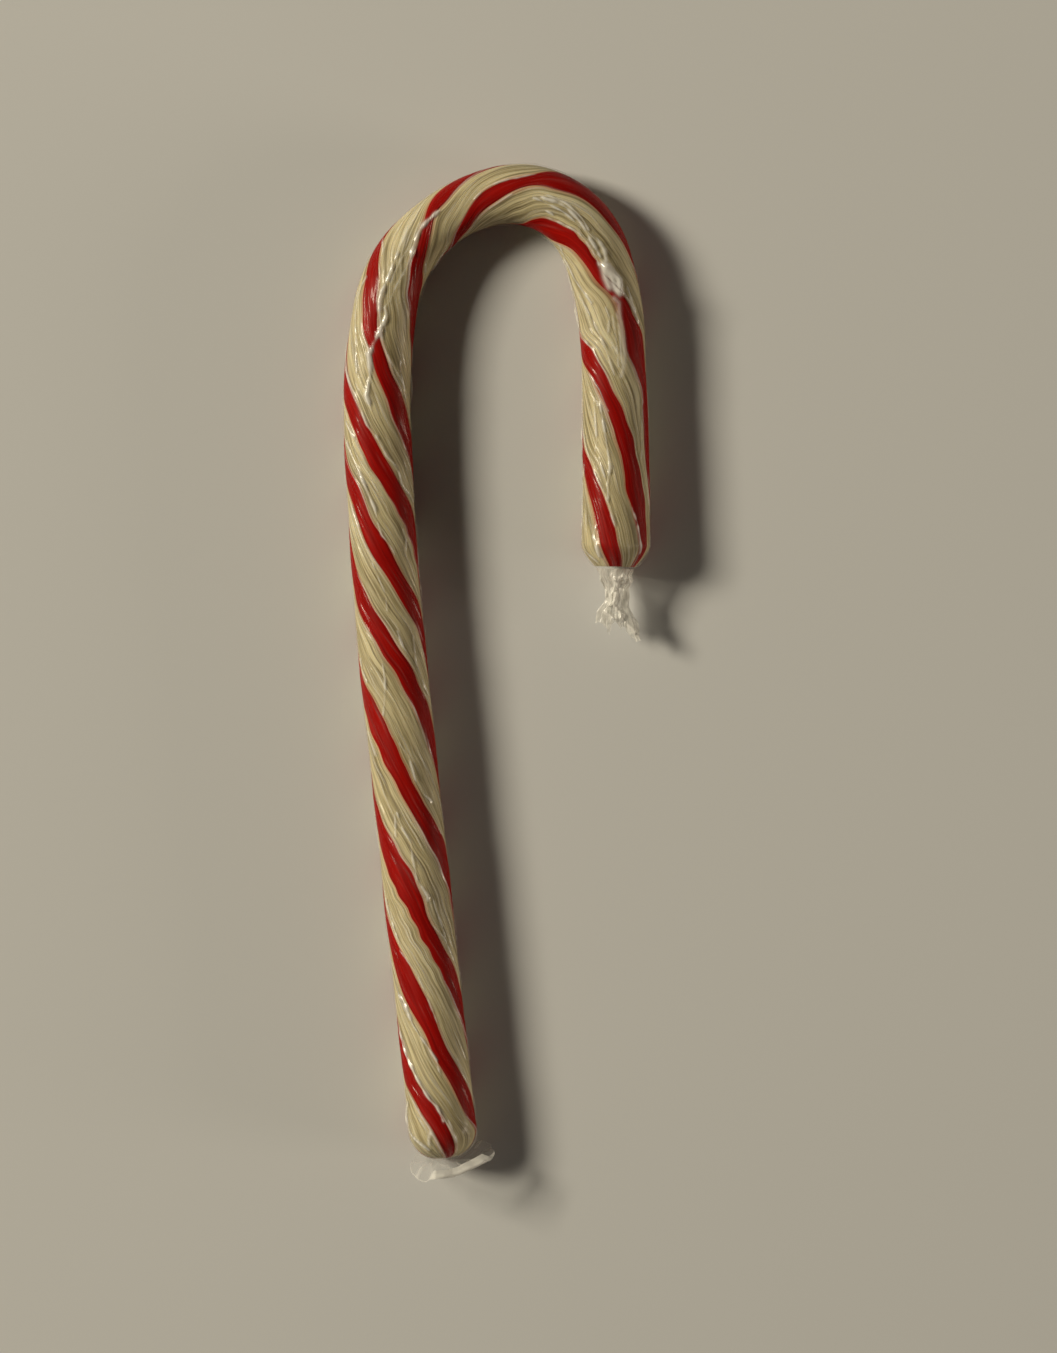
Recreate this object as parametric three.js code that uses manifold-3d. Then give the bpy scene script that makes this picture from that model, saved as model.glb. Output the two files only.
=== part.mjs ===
// A candy cane in a clear film wrapper, lying on its side. Millimetres, +Z up.
// The shaft runs up +Y, the hook turns over towards +X and its end points back down.
// The candy is a white rod of pulled sugar with four red stripes laid into its surface. The film is
// twisted into a tail past the hook's end, and splays into a rosette past the foot.
import * as THREE from "three";
import { mergeVertices } from "three/addons/utils/BufferGeometryUtils.js";
import Module from "manifold-3d";

const { clamp, degToRad, lerp, mapLinear, radToDeg } = THREE.MathUtils;

// ---- Driving dimensions: the rod ----
const ROD_RADIUS = 5;
const FLAT_DEPTH = 0.15; // the underside is flattened by this much, where the rod lies on the floor
const AXIS_HEIGHT = ROD_RADIUS - FLAT_DEPTH;
const FOOT_AT = new THREE.Vector2(-7.74, -72.66); // the middle of the foot's tip, in the part's frame
const FOOT_LEAN = 5.96; // degrees by which the shaft leans away from +Y at its foot, towards -X
// The rod from foot to hook's end, as bends of [length, degrees turned towards +X].
const BENDS = [
  [68.6, -0.2],
  [40.8, 3.8],
  [19.3, 11.4],
  [11.5, 33.2],
  [14.9, 38.8],
  [9.1, 43.3],
  [9.6, 37.9],
  [14.1, 16.1],
  [10.9, 0.1],
  [21.8, 3.1],
];
const ROD_LENGTH = BENDS.reduce((sum, [length]) => sum + length, 0);
// Where pulling the rod round the hook made it thinner: [distance from the foot, share of ROD_RADIUS].
const GIRTH = [
  [0, 1],
  [118, 1],
  [133, 0.93],
  [147, 0.78],
  [152, 0.83],
  [165, 0.99],
  [195, 0.96],
  [ROD_LENGTH, 1.04],
];
// Each end narrows to a flat tip: the foot in a round dome, the hook's end in a flatter chamfer.
const FOOT_TIP_SHARE = 0.15; // the tip's radius, as a share of the rod's
const FOOT_ROUNDING = 4.5; // length over which the rod narrows
const HOOK_TIP_SHARE = 0.58;
const HOOK_ROUNDING = 3.2;
const CHAMFER_CURVE = 1.4; // 1 is a straight chamfer, and more bulges
const ROD_STEP = 2.7; // length of one facet along the rod
const ROUNDING_STEPS = 4; // facets along each rounded end

// ---- Driving dimensions: the stripes ----
const STRIPES = 4;
const QUARTER = 360 / STRIPES; // degrees from one stripe to the next on the untwisted rod
const STRIPE_HALF = 16.5; // half a stripe's width on the untwisted rod, in degrees round it
const STRIPE_FLOOR = 0.8; // radius at which the white under a stripe starts, as a share of the rod's
const INLAY_GAP = 0.3; // clearance between a stripe and the white round it
const GAP_SHARE = INLAY_GAP / ROD_RADIUS;
const GAP_ANGLE = radToDeg(GAP_SHARE);
const CHANNEL_HALF = STRIPE_HALF + GAP_ANGLE;
const STRIPE_FACETS = 3; // facets across a stripe's outer face
const FLOOR_FACETS = 2; // facets across its inner face and the channel's floor
const BAND_FACETS = 5; // facets across the white between two stripes
// Where the stripes run. A stripe shows at the front once a turn, and the passes go to the stripes in
// order. A pass's rows are [distance from the foot, angle of the stripe's middle from the front, half
// its width], the angles in degrees. The candy was twisted by hand, so its pitch and widths are uneven.
const STRIPE_PASSES = [
  [[-30, -60, 13], [-20, 0, 13], [-9, 60, 13]],
  [
    [-7, -50, 12], [3.4, -2, 13.5], [5.5, 8, 14.5], [8, 24, 15.5], [10, 37, 16], [12, 56, 19],
    [14, 69, 19],
  ],
  [
    [0, -112, 14], [3.5, -104, 14], [5, -75, 19], [8, -58, 20], [10, -47.5, 19], [12, -35.5, 16.5],
    [16, -10.5, 13], [19, 0, 13], [22, 13, 17], [26, 30.5, 20.5], [30, 50, 18], [33, 66, 14],
  ],
  [
    [24.5, -64, 20], [27, -51, 20], [29, -38, 17], [33, -15.5, 14.5], [37, 1, 13], [40, 13, 18],
    [44, 32, 22], [48, 53, 23], [50, 63, 18], [52, 74, 15],
  ],
  [
    [43, -74, 20], [46, -60, 23], [47.5, -52, 22], [50, -34, 17], [54, -12, 15], [57, 2, 15],
    [60, 16, 16.5], [64, 34, 18], [68, 54, 20], [70, 63, 19], [73, 84, 16],
  ],
  [
    [63, -69, 19], [66, -57, 20], [69, -45.5, 19], [71, -31, 15], [74, -16.5, 15.5], [76, -2.5, 17],
    [78, 8, 17.5], [81, 25, 17.5], [84, 47, 16.5], [87, 60, 15], [90, 76, 15],
  ],
  [
    [80, -74, 20], [82, -60, 22], [84, -48, 21], [85.5, -36, 17], [88, -19.5, 15], [91, 0.5, 15.5],
    [94, 14.5, 17], [97, 31, 14.5], [100, 46, 16], [102, 61, 21], [105, 84, 19],
  ],
  [
    [95, -67, 20], [98, -52, 20], [100, -35.5, 18], [102, -22, 16], [104, -8.5, 18],
    [106, 4.5, 16.5], [109, 20.5, 15.5], [112, 38, 14], [114, 52, 16], [115.5, 66, 20],
    [118, 82, 18],
  ],
  [
    [109, -67, 20], [112, -49, 20], [115, -36.5, 17.5], [118, -16, 16], [120, -6, 13], [122, 2, 13],
    [125, 20, 13], [128, 27.5, 14.5], [132, 40, 15.5], [134, 56, 20], [137, 82, 17], [140, 105, 13],
    [150, 140, 14],
  ],
  [
    [125, -86, 19], [128, -77, 20], [130, -69, 20], [132, -58, 22], [135, -49, 22], [137, -31, 16],
    [139, -24, 12], [142, -2, 10], [143.5, 14, 12], [145, 34, 12], [147, 47, 21], [148.3, 61, 25],
    [150, 74, 24], [152, 90, 21], [156, 112, 17], [165, 140, 16],
  ],
  [
    [140, -112, 14], [143, -96, 15], [145, -64, 15], [146, -54, 14], [148, -41, 15.5],
    [150, -20, 14], [152, -4.5, 15.5], [156, 13, 15], [158, 22.5, 12.5], [160, 36, 13],
    [161.5, 53, 25.5], [163, 60, 28.5], [166, 71, 29], [168, 75, 30], [170.5, 78, 31.5],
    [172, 83, 29], [174, 92, 24], [182, 130, 18], [200, 180, 15], [221, 240, 13],
  ],
  [
    [159, -95, 19], [161, -73, 27], [163, -62, 28], [166, -51, 27], [168, -36, 19.5],
    [171, -24, 12], [173, -18, 10], [177, -5, 10], [180.5, 22, 11], [183, 31, 12], [186, 46, 22],
    [189, 52, 22], [191.5, 66, 22], [194, 75, 17], [205, 80, 19], [212, 108, 17], [221, 140, 16],
  ],
  [
    [185, -104, 16], [187, -71, 24], [188.5, -62, 26], [190, -46.5, 21], [191.2, -33, 15],
    [194, -16.5, 13], [197, 0.5, 13.5], [201, 15.5, 15.5], [205.5, 28.5, 14], [209, 36, 18.5],
    [212, 44.5, 15], [217, 54, 11], [221, 60, 10],
  ],
  [
    [199, -114, 14], [202.5, -94, 18], [204, -76, 19], [206.5, -55, 14], [209, -43, 15.5],
    [212, -28, 14], [215, -18, 16], [219, -5, 16], [225, 20, 15],
  ],
];
const SMOOTHING = 1; // the stripes' middles and widths are averaged this far to each side

// ---- Driving dimensions: the film ----
const FILM_GAP = 0.3; // clearance between the film's solids and the candy
// The tail in stations of [distance past the rod's end, half width, half depth, drift outwards].
const TAIL_STATIONS = [
  [0, 2.9, 2.5, 0],
  [1.2, 2.9, 2.5, 0.1],
  [2.4, 2.5, 1.9, 0.3],
  [3.6, 1.9, 1.4, 0.4],
  [5, 1.8, 1.2, 0.6],
  [6.4, 2.3, 1.3, 0.7],
  [7.6, 2.7, 1.4, 0.9],
  [8.8, 2.7, 1.1, 1.4],
  [10, 2.5, 0.6, 2.1],
];
const TAIL_POINTS = 25; // points round the tail's section
const TAIL_PLEATS = 5;
const TAIL_PLEAT_DEPTH = 0.16; // as a share of the half width
const TAIL_TWIST = 100; // degrees the pleats turn from the candy to the tail's tip
const TAIL_SKEW = 1.2; // how much further the tip reaches on its outer side than in the middle
// The rosette: a thin dish across the rod's line, round but for one straight side. It is tipped, so
// that its rim stands further out past the foot above the axis, and comes back round the foot below.
const ROSETTE_RADIUS = 6.35;
const ROSETTE_CHORD = 4.3; // the straight side's distance from the dish's middle
const ROSETTE_CHORD_ANGLE = -22; // the way that the straight side faces, in degrees round the rod
const ROSETTE_SHIFT = -0.93; // the rim's middle is off the axis, towards the hook's inside
const ROSETTE_THICKNESS = 0.7;
const ROSETTE_CENTRE = -0.5; // the dish's middle, as a distance along the rod
const ROSETTE_RIM = -0.23; // the distance along the rod of the rim's middle
const ROSETTE_TIP = 0.6; // how much further out the rim is for each millimetre above the axis
const ROSETTE_SLANT = 0.095; // and for each millimetre towards the hook's outside
const ROSETTE_RISE = 0.43; // how much further back it is for each millimetre below the axis
const ROSETTE_REACH = 2.95; // the furthest that the rim stands out past the foot
const ROSETTE_BACK_RISE = 0.25; // the share of that rise left on the underside
const ROSETTE_BACK = [125, 165]; // degrees round the rod over which the rise fades to that share
const ROSETTE_PLEATS = 9;
const ROSETTE_PLEAT_DEPTH = 0.35;
const ROSETTE_SECTORS = 45;
const ROSETTE_RINGS = 4;

const wasm = await Module();
wasm.setup();

// ---- Tables, and places on the rod ----

// The value at a place in rows of [place, value], straight between rows and on past the ends.
function valueAt(rows, place) {
  const next = rows.findIndex(([rowPlace]) => rowPlace > place);
  const upper = next < 0 ? rows.length - 1 : Math.max(next, 1);
  const [fromPlace, fromValue] = rows[upper - 1];
  const [toPlace, toValue] = rows[upper];
  return mapLinear(place, fromPlace, toPlace, fromValue, toValue);
}

// The rod's axis at a distance from the foot, and its heading there in radians from +X.
function axisAt(distance) {
  const point = FOOT_AT.clone();
  let heading = degToRad(90 + FOOT_LEAN);
  let left = distance;
  BENDS.forEach(([length, turn], index) => {
    const isLast = index === BENDS.length - 1;
    const step = isLast ? left : Math.min(left, length);
    const half = degToRad((turn * step) / length) / 2;
    const chord = half === 0 ? step : (step * Math.sin(half)) / half;
    point.x += chord * Math.cos(heading - half);
    point.y += chord * Math.sin(heading - half);
    heading -= 2 * half;
    left -= step;
  });
  return { point, heading };
}

// A point on or round the rod: out is its distance towards the outside of the hook, up its height
// above the axis.
function placeByRod(distance, out, up) {
  const { point, heading } = axisAt(distance);
  return new THREE.Vector3(
    point.x - out * Math.sin(heading),
    point.y + out * Math.cos(heading),
    AXIS_HEIGHT + up,
  );
}

// The rod's radius at a distance from the foot, with both ends narrowed to a flat tip.
function radiusAt(distance) {
  const footInset = 1 - Math.min(distance / FOOT_ROUNDING, 1);
  const hookInset = 1 - Math.min((ROD_LENGTH - distance) / HOOK_ROUNDING, 1);
  const dome = lerp(FOOT_TIP_SHARE, 1, Math.sqrt(1 - footInset * footInset));
  const chamfer = lerp(HOOK_TIP_SHARE, 1, 1 - hookInset ** CHAMFER_CURVE);
  return ROD_RADIUS * valueAt(GIRTH, distance) * dome * chamfer;
}

// Distances from the foot at which the rod's facets meet, closer together on the rounded ends.
function rodStations() {
  const rounding = (length, index) =>
    length * (1 - Math.cos((Math.PI / 2) * (index / ROUNDING_STEPS)));
  const indices = Array.from({ length: ROUNDING_STEPS }, (_, index) => index);
  const middle = ROD_LENGTH - FOOT_ROUNDING - HOOK_ROUNDING;
  const steps = Math.round(middle / ROD_STEP);
  return [
    ...indices.map((index) => rounding(FOOT_ROUNDING, index)),
    ...Array.from({ length: steps + 1 }, (_, index) => FOOT_ROUNDING + (middle * index) / steps),
    ...indices.map((index) => ROD_LENGTH - rounding(HOOK_ROUNDING, index)).reverse(),
  ];
}

// ---- The twist ----

// A table's value at a distance, averaged over SMOOTHING to each side.
function smoothedAt(rows, distance) {
  const around = [-SMOOTHING, -SMOOTHING / 2, 0, SMOOTHING / 2, SMOOTHING];
  return around.reduce((sum, shift) => sum + valueAt(rows, distance + shift), 0) / around.length;
}

// A stripe at a distance: the angle of its middle from the front towards the hook's outside, and half
// its width, in degrees. Stripe 4 is stripe 0 again, a turn behind it, and so on.
function stripeAt(stripe, distance) {
  const turns = Math.floor(stripe / STRIPES);
  const first = stripe - turns * STRIPES;
  const middles = [];
  const halves = [];
  for (let pass = first; pass < STRIPE_PASSES.length; pass += STRIPES) {
    const front = (360 * (pass - first)) / STRIPES - 360 * turns;
    for (const [place, angle, half] of STRIPE_PASSES[pass]) {
      middles.push([place, front + angle]);
      halves.push([place, half]);
    }
  }
  return { middle: smoothedAt(middles, distance), half: smoothedAt(halves, distance) };
}

// The angle of one edge of a stripe's channel: side is 1 towards the hook's outside, or -1.
function channelEdge(stripe, side, distance) {
  const { middle, half } = stripeAt(stripe, distance);
  return middle + side * (half + GAP_ANGLE);
}

// Turns an angle on the untwisted rod, where stripe n stands at -QUARTER * n, into the angle on the
// twisted one. A stripe and its channel take their width there, and the white between fills the rest.
function twistedAngle(straight, distance) {
  const stripe = Math.round(-straight / QUARTER);
  const offset = straight + QUARTER * stripe;
  const side = Math.sign(offset);
  const away = Math.abs(offset);
  if (away <= CHANNEL_HALF + 1e-6) {
    const { middle, half } = stripeAt(stripe, distance);
    const share = Math.min(away / STRIPE_HALF, 1);
    return middle + side * (share * half + Math.max(0, away - STRIPE_HALF));
  }
  const edge = channelEdge(stripe, side, distance);
  const facing = channelEdge(stripe - side, -side, distance);
  const share = (away - CHANNEL_HALF) / (QUARTER / 2 - CHANNEL_HALF);
  return lerp(edge, (edge + facing) / 2, share);
}

// ---- From sections to solids ----

// A point of the untwisted rod's section, its radius as a share of the rod's.
function sectionPoint(share, degrees) {
  return new THREE.Vector2(share * Math.sin(degToRad(degrees)), share * Math.cos(degToRad(degrees)));
}

// Points of an arc in the section, from one angle to the other.
function sectionArc(share, from, to, facets) {
  return Array.from({ length: facets + 1 }, (_, index) =>
    sectionPoint(share, lerp(from, to, index / facets)),
  );
}

// Extrudes a section along the stations and carries each of its points to its own place.
function loft(outline, stations, place) {
  const steps = stations.length - 1;
  const log = new THREE.ExtrudeGeometry(new THREE.Shape(outline), {
    depth: steps,
    steps,
    bevelEnabled: false,
  });
  log.deleteAttribute("normal");
  log.deleteAttribute("uv");
  const geometry = mergeVertices(log);
  const positions = geometry.getAttribute("position");
  for (let index = 0; index < positions.count; index++) {
    const x = positions.getX(index);
    const y = positions.getY(index);
    const station = stations[Math.round(positions.getZ(index))];
    positions.setXYZ(index, ...place(station, x, y));
  }
  return geometry;
}

// A section of the rod, twisted and bent into the cane.
function loftRod(outline) {
  return loft(outline, rodStations(), (distance, x, y) => {
    const angle = radToDeg(Math.atan2(x, y));
    const straight = angle > CHANNEL_HALF + 1e-3 ? angle - 360 : angle;
    const twisted = degToRad(twistedAngle(straight, distance));
    const radius = Math.hypot(x, y) * radiusAt(distance);
    return placeByRod(distance, radius * Math.sin(twisted), radius * Math.cos(twisted));
  });
}

// A closed geometry as a manifold-3d solid, and back.
function toSolid(geometry) {
  return new wasm.Manifold(
    new wasm.Mesh({
      numProp: 3,
      vertProperties: new Float32Array(geometry.getAttribute("position").array),
      triVerts: new Uint32Array(geometry.index.array),
    }),
  );
}

function toGeometry(solid) {
  const { vertProperties, triVerts } = solid.getMesh();
  const geometry = new THREE.BufferGeometry();
  geometry.setAttribute("position", new THREE.BufferAttribute(vertProperties, 3));
  geometry.setIndex(new THREE.BufferAttribute(triVerts, 1));
  geometry.computeVertexNormals();
  return geometry;
}

// Cuts off what lies below the floor, z = 0.
function restOnFloor(geometry) {
  const side = 400;
  const depth = 20;
  const ground = new THREE.BoxGeometry(side, side, depth).translate(0, 0, -depth / 2);
  ground.deleteAttribute("normal");
  ground.deleteAttribute("uv");
  return toGeometry(toSolid(geometry).subtract(toSolid(mergeVertices(ground))));
}

// ---- The candy ----

// The white rod, with a channel for each stripe.
function candyBody() {
  const outline = [];
  for (let stripe = 0; stripe < STRIPES; stripe++) {
    const centre = -QUARTER * stripe;
    const channelEnd = centre - CHANNEL_HALF;
    const nextChannel = centre - QUARTER + CHANNEL_HALF;
    outline.push(
      ...sectionArc(STRIPE_FLOOR, centre + CHANNEL_HALF, channelEnd, FLOOR_FACETS),
      ...sectionArc(1, channelEnd, nextChannel, BAND_FACETS),
    );
  }
  return restOnFloor(loftRod(outline));
}

// One red stripe, a strip that fills its channel out to the rod's surface.
function redStripe(stripe) {
  const centre = -QUARTER * stripe;
  return restOnFloor(
    loftRod([
      ...sectionArc(1, centre + STRIPE_HALF, centre - STRIPE_HALF, STRIPE_FACETS),
      ...sectionArc(STRIPE_FLOOR + GAP_SHARE, centre - STRIPE_HALF, centre + STRIPE_HALF, FLOOR_FACETS),
    ]),
  );
}

// ---- The film ----

// The tail: film gathered past the hook's end, twisted at its neck and fanned out at its tip.
function wrapperTail() {
  const outline = Array.from({ length: TAIL_POINTS }, (_, index) =>
    sectionPoint(1, (-360 * index) / TAIL_POINTS),
  );
  const length = TAIL_STATIONS.at(-1)[0];
  return loft(outline, TAIL_STATIONS, ([past, width, depth, drift], x, y) => {
    const along = past / length;
    const round = Math.atan2(x, y) + degToRad(TAIL_TWIST) * along;
    const pleat = 1 - TAIL_PLEAT_DEPTH * (1 + Math.cos(TAIL_PLEATS * round));
    const reach = past + TAIL_SKEW * along ** 4 * (Math.abs(x) + x / 2);
    const distance = ROD_LENGTH + FILM_GAP + reach;
    return placeByRod(distance, drift + width * pleat * x, depth * pleat * y);
  });
}

// The rosette's rim at an angle round the rod, in degrees: its radius, and its distance along the rod.
function rosetteRim(angle) {
  const towardsChord = Math.cos(degToRad(angle - ROSETTE_CHORD_ANGLE));
  const chord = towardsChord > 0 ? ROSETTE_CHORD / towardsChord : ROSETTE_RADIUS;
  const radius = Math.min(ROSETTE_RADIUS, chord);
  const up = radius * Math.cos(degToRad(angle));
  const slant = ROSETTE_SLANT * radius * Math.sin(degToRad(angle));
  const [backFrom, backTo] = ROSETTE_BACK;
  const back = clamp(mapLinear(Math.abs(angle), backFrom, backTo, 0, 1), 0, 1);
  const rise = ROSETTE_RISE * lerp(1, ROSETTE_BACK_RISE, back);
  const slanted = ROSETTE_RIM - up * (up > 0 ? ROSETTE_TIP : rise) - slant;
  return { radius, distance: Math.max(-ROSETTE_REACH, slanted) };
}

// The rosette: film pressed out past the foot into a thin pleated dish.
function wrapperFoot() {
  const face = (offset) =>
    Array.from({ length: ROSETTE_RINGS + 1 }, (_, ring) =>
      new THREE.Vector2(ring / ROSETTE_RINGS, offset),
    );
  const profile = [...face(0), ...face(-ROSETTE_THICKNESS).reverse()];
  const disc = new THREE.LatheGeometry(profile, ROSETTE_SECTORS);
  disc.deleteAttribute("normal");
  disc.deleteAttribute("uv");
  const geometry = mergeVertices(disc);
  const positions = geometry.getAttribute("position");
  for (let index = 0; index < positions.count; index++) {
    const x = positions.getX(index);
    const z = positions.getZ(index);
    const share = Math.hypot(x, z);
    const angle = Math.atan2(x, z);
    const rim = rosetteRim(radToDeg(angle));
    const pleat = ROSETTE_PLEAT_DEPTH * Math.cos(ROSETTE_PLEATS * angle);
    const dish = lerp(ROSETTE_CENTRE, rim.distance + pleat, share * share);
    const distance = dish - FILM_GAP + positions.getY(index);
    positions.setXYZ(
      index,
      ...placeByRod(distance, ROSETTE_SHIFT * share + rim.radius * x, rim.radius * z),
    );
  }
  return restOnFloor(geometry);
}

// ---- The whole ----

function addPiece(group, name, geometry, material) {
  const mesh = new THREE.Mesh(geometry, material);
  mesh.name = name;
  group.add(mesh);
}

const whiteCandy = new THREE.MeshStandardMaterial({ color: 0xe9e2cd, roughness: 0.35, metalness: 0 });
const redCandy = new THREE.MeshStandardMaterial({ color: 0xb81414, roughness: 0.3, metalness: 0 });
const clearFilm = new THREE.MeshStandardMaterial({
  color: 0xf2f4f0,
  roughness: 0.12,
  metalness: 0,
  transparent: true,
  opacity: 0.35,
});

const candyCane = new THREE.Group();
addPiece(candyCane, "candy_body", candyBody(), whiteCandy);
for (let stripe = 0; stripe < STRIPES; stripe++)
  addPiece(candyCane, `red_stripe_${stripe + 1}`, redStripe(stripe), redCandy.clone());
addPiece(candyCane, "wrapper_tail", wrapperTail(), clearFilm);
addPiece(candyCane, "wrapper_foot", wrapperFoot(), clearFilm.clone());

export default candyCane;
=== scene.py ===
"""A candy cane in a clear film wrapper, lying on its side and seen from straight above.

The candy is a white rod of pulled sugar with four red stripes laid into it. Its shapes are worked out
on a straight, untwisted log and carried on to the twisted and bent rod, as the solids are. The film is
a thin sheet round the candy, creased along the twist, with a flared foot and a twisted tail. Lengths
below are in millimetres until a piece is made, which turns them into metres.
"""

import math

import bpy
import numpy as np
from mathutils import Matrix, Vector


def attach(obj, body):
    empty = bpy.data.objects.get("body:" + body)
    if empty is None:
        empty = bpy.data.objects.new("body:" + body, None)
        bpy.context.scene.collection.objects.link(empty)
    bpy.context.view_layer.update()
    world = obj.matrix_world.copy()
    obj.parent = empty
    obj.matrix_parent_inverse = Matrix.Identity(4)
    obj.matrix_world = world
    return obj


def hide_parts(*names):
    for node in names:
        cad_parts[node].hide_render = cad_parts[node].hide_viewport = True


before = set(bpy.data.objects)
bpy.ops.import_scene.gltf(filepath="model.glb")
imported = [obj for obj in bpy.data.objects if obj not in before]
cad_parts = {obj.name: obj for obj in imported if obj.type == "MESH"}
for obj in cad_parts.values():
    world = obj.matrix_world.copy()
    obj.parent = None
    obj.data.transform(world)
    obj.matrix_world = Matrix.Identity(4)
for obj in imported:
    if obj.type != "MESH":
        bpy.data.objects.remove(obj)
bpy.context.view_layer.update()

MM = 0.001

# ---- The rod, as in the solids ----
ROD_RADIUS = 5.0
FLAT_DEPTH = 0.15
AXIS_HEIGHT = ROD_RADIUS - FLAT_DEPTH
FOOT_AT = (-7.74, -72.66)  # the middle of the foot's tip
FOOT_LEAN = 5.96  # degrees by which the shaft leans away from +Y at its foot
BENDS = (  # from foot to hook's end: length, degrees turned towards +X
    (68.6, -0.2),
    (40.8, 3.8),
    (19.3, 11.4),
    (11.5, 33.2),
    (14.9, 38.8),
    (9.1, 43.3),
    (9.6, 37.9),
    (14.1, 16.1),
    (10.9, 0.1),
    (21.8, 3.1),
)
ROD_LENGTH = sum(length for length, _ in BENDS)
GIRTH = (  # distance from the foot, radius as a share of ROD_RADIUS
    (0, 1),
    (118, 1),
    (133, 0.93),
    (147, 0.78),
    (152, 0.83),
    (165, 0.99),
    (195, 0.96),
    (ROD_LENGTH, 1.04),
)
GIRTH_SMOOTHING = 6.0  # the girth is averaged this far to each side
FOOT_TIP_SHARE = 0.1  # the foot's flat tip, as a share of the rod's radius
FOOT_ROUNDING = 4.5  # length of the dome that ends in it
HOOK_TIP_SHARE = 0.58
HOOK_ROUNDING = 3.2
CHAMFER_CURVE = 1.4  # 1 is a straight chamfer, and more bulges

# ---- The stripes, as in the solids ----
STRIPES = 4
QUARTER = 360 / STRIPES
STRIPE_HALF = 16.5  # half a stripe's width on the untwisted log, in degrees
# Where the stripes run. A stripe shows at the front once a turn, and the passes go to the stripes in
# order. A pass's rows are distance from the foot, angle of the stripe's middle from the front, and half
# its width in degrees. The candy was twisted by hand, so its pitch and widths are uneven.
STRIPE_PASSES = (
    ((-30, -60, 13), (-20, 0, 13), (-9, 60, 13)),
    ((-7, -50, 12), (3.4, -2, 13.5), (5.5, 8, 14.5), (8, 24, 15.5), (10, 37, 16), (12, 56, 19))
    + ((14, 69, 19),),
    ((0, -112, 14), (3.5, -104, 14), (5, -75, 19), (8, -58, 20), (10, -47.5, 19), (12, -35.5, 16.5))
    + ((16, -10.5, 13), (19, 0, 13), (22, 13, 17), (26, 30.5, 20.5), (30, 50, 18), (33, 66, 14)),
    ((24.5, -64, 20), (27, -51, 20), (29, -38, 17), (33, -15.5, 14.5), (37, 1, 13), (40, 13, 18))
    + ((44, 32, 22), (48, 53, 23), (50, 63, 18), (52, 74, 15)),
    ((43, -74, 20), (46, -60, 23), (47.5, -52, 22), (50, -34, 17), (54, -12, 15), (57, 2, 15))
    + ((60, 16, 16.5), (64, 34, 18), (68, 54, 20), (70, 63, 19), (73, 84, 16)),
    ((63, -69, 19), (66, -57, 20), (69, -45.5, 19), (71, -31, 15), (74, -16.5, 15.5), (76, -2.5, 17))
    + ((78, 8, 17.5), (81, 25, 17.5), (84, 47, 16.5), (87, 60, 15), (90, 76, 15)),
    ((80, -74, 20), (82, -60, 22), (84, -48, 21), (85.5, -36, 17), (88, -19.5, 15), (91, 0.5, 15.5))
    + ((94, 14.5, 17), (97, 31, 14.5), (100, 46, 16), (102, 61, 21), (105, 84, 19)),
    ((95, -67, 20), (98, -52, 20), (100, -35.5, 18), (102, -22, 16), (104, -8.5, 18), (106, 4.5, 16.5))
    + ((109, 20.5, 15.5), (112, 38, 14), (114, 52, 16), (115.5, 66, 20), (118, 82, 18)),
    ((109, -67, 20), (112, -49, 20), (115, -36.5, 17.5), (118, -16, 16), (120, -6, 13), (122, 2, 13))
    + ((125, 20, 13), (128, 27.5, 14.5), (132, 40, 15.5), (134, 56, 20), (137, 82, 17), (140, 105, 13))
    + ((150, 140, 14),),
    ((125, -86, 19), (128, -77, 20), (130, -69, 20), (132, -58, 22), (135, -49, 22), (137, -31, 16))
    + ((139, -24, 12), (142, -2, 10), (143.5, 14, 12), (145, 34, 12), (147, 47, 21), (148.3, 61, 25))
    + ((150, 74, 24), (152, 90, 21), (156, 112, 17), (165, 140, 16)),
    ((140, -112, 14), (143, -96, 15), (145, -64, 15), (146, -54, 14), (148, -41, 15.5), (150, -20, 14))
    + ((152, -4.5, 15.5), (156, 13, 15), (158, 22.5, 12.5), (160, 36, 13), (161.5, 53, 25.5))
    + ((163, 60, 28.5), (166, 71, 29), (168, 75, 30), (170.5, 78, 31.5), (172, 83, 29), (174, 92, 24))
    + ((182, 130, 18), (200, 180, 15), (221, 240, 13)),
    ((159, -95, 19), (161, -73, 27), (163, -62, 28), (166, -51, 27), (168, -36, 19.5), (171, -24, 12))
    + ((173, -18, 10), (177, -5, 10), (180.5, 22, 11), (183, 31, 12), (186, 46, 22), (189, 52, 22))
    + ((191.5, 66, 22), (194, 75, 17), (205, 80, 19), (212, 108, 17), (221, 140, 16)),
    ((185, -104, 16), (187, -71, 24), (188.5, -62, 26), (190, -46.5, 21), (191.2, -33, 15))
    + ((194, -16.5, 13), (197, 0.5, 13.5), (201, 15.5, 15.5), (205.5, 28.5, 14), (209, 36, 18.5))
    + ((212, 44.5, 15), (217, 54, 11), (221, 60, 10)),
    ((199, -114, 14), (202.5, -94, 18), (204, -76, 19), (206.5, -55, 14), (209, -43, 15.5))
    + ((212, -28, 14), (215, -18, 16), (219, -5, 16), (225, 20, 15)),
)
SMOOTHING = 1.0  # the stripes' middles and widths are averaged this far to each side
STRIPE_FLOOR = 0.8  # the radius at which the white under a stripe starts, as a share of the rod's

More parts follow.
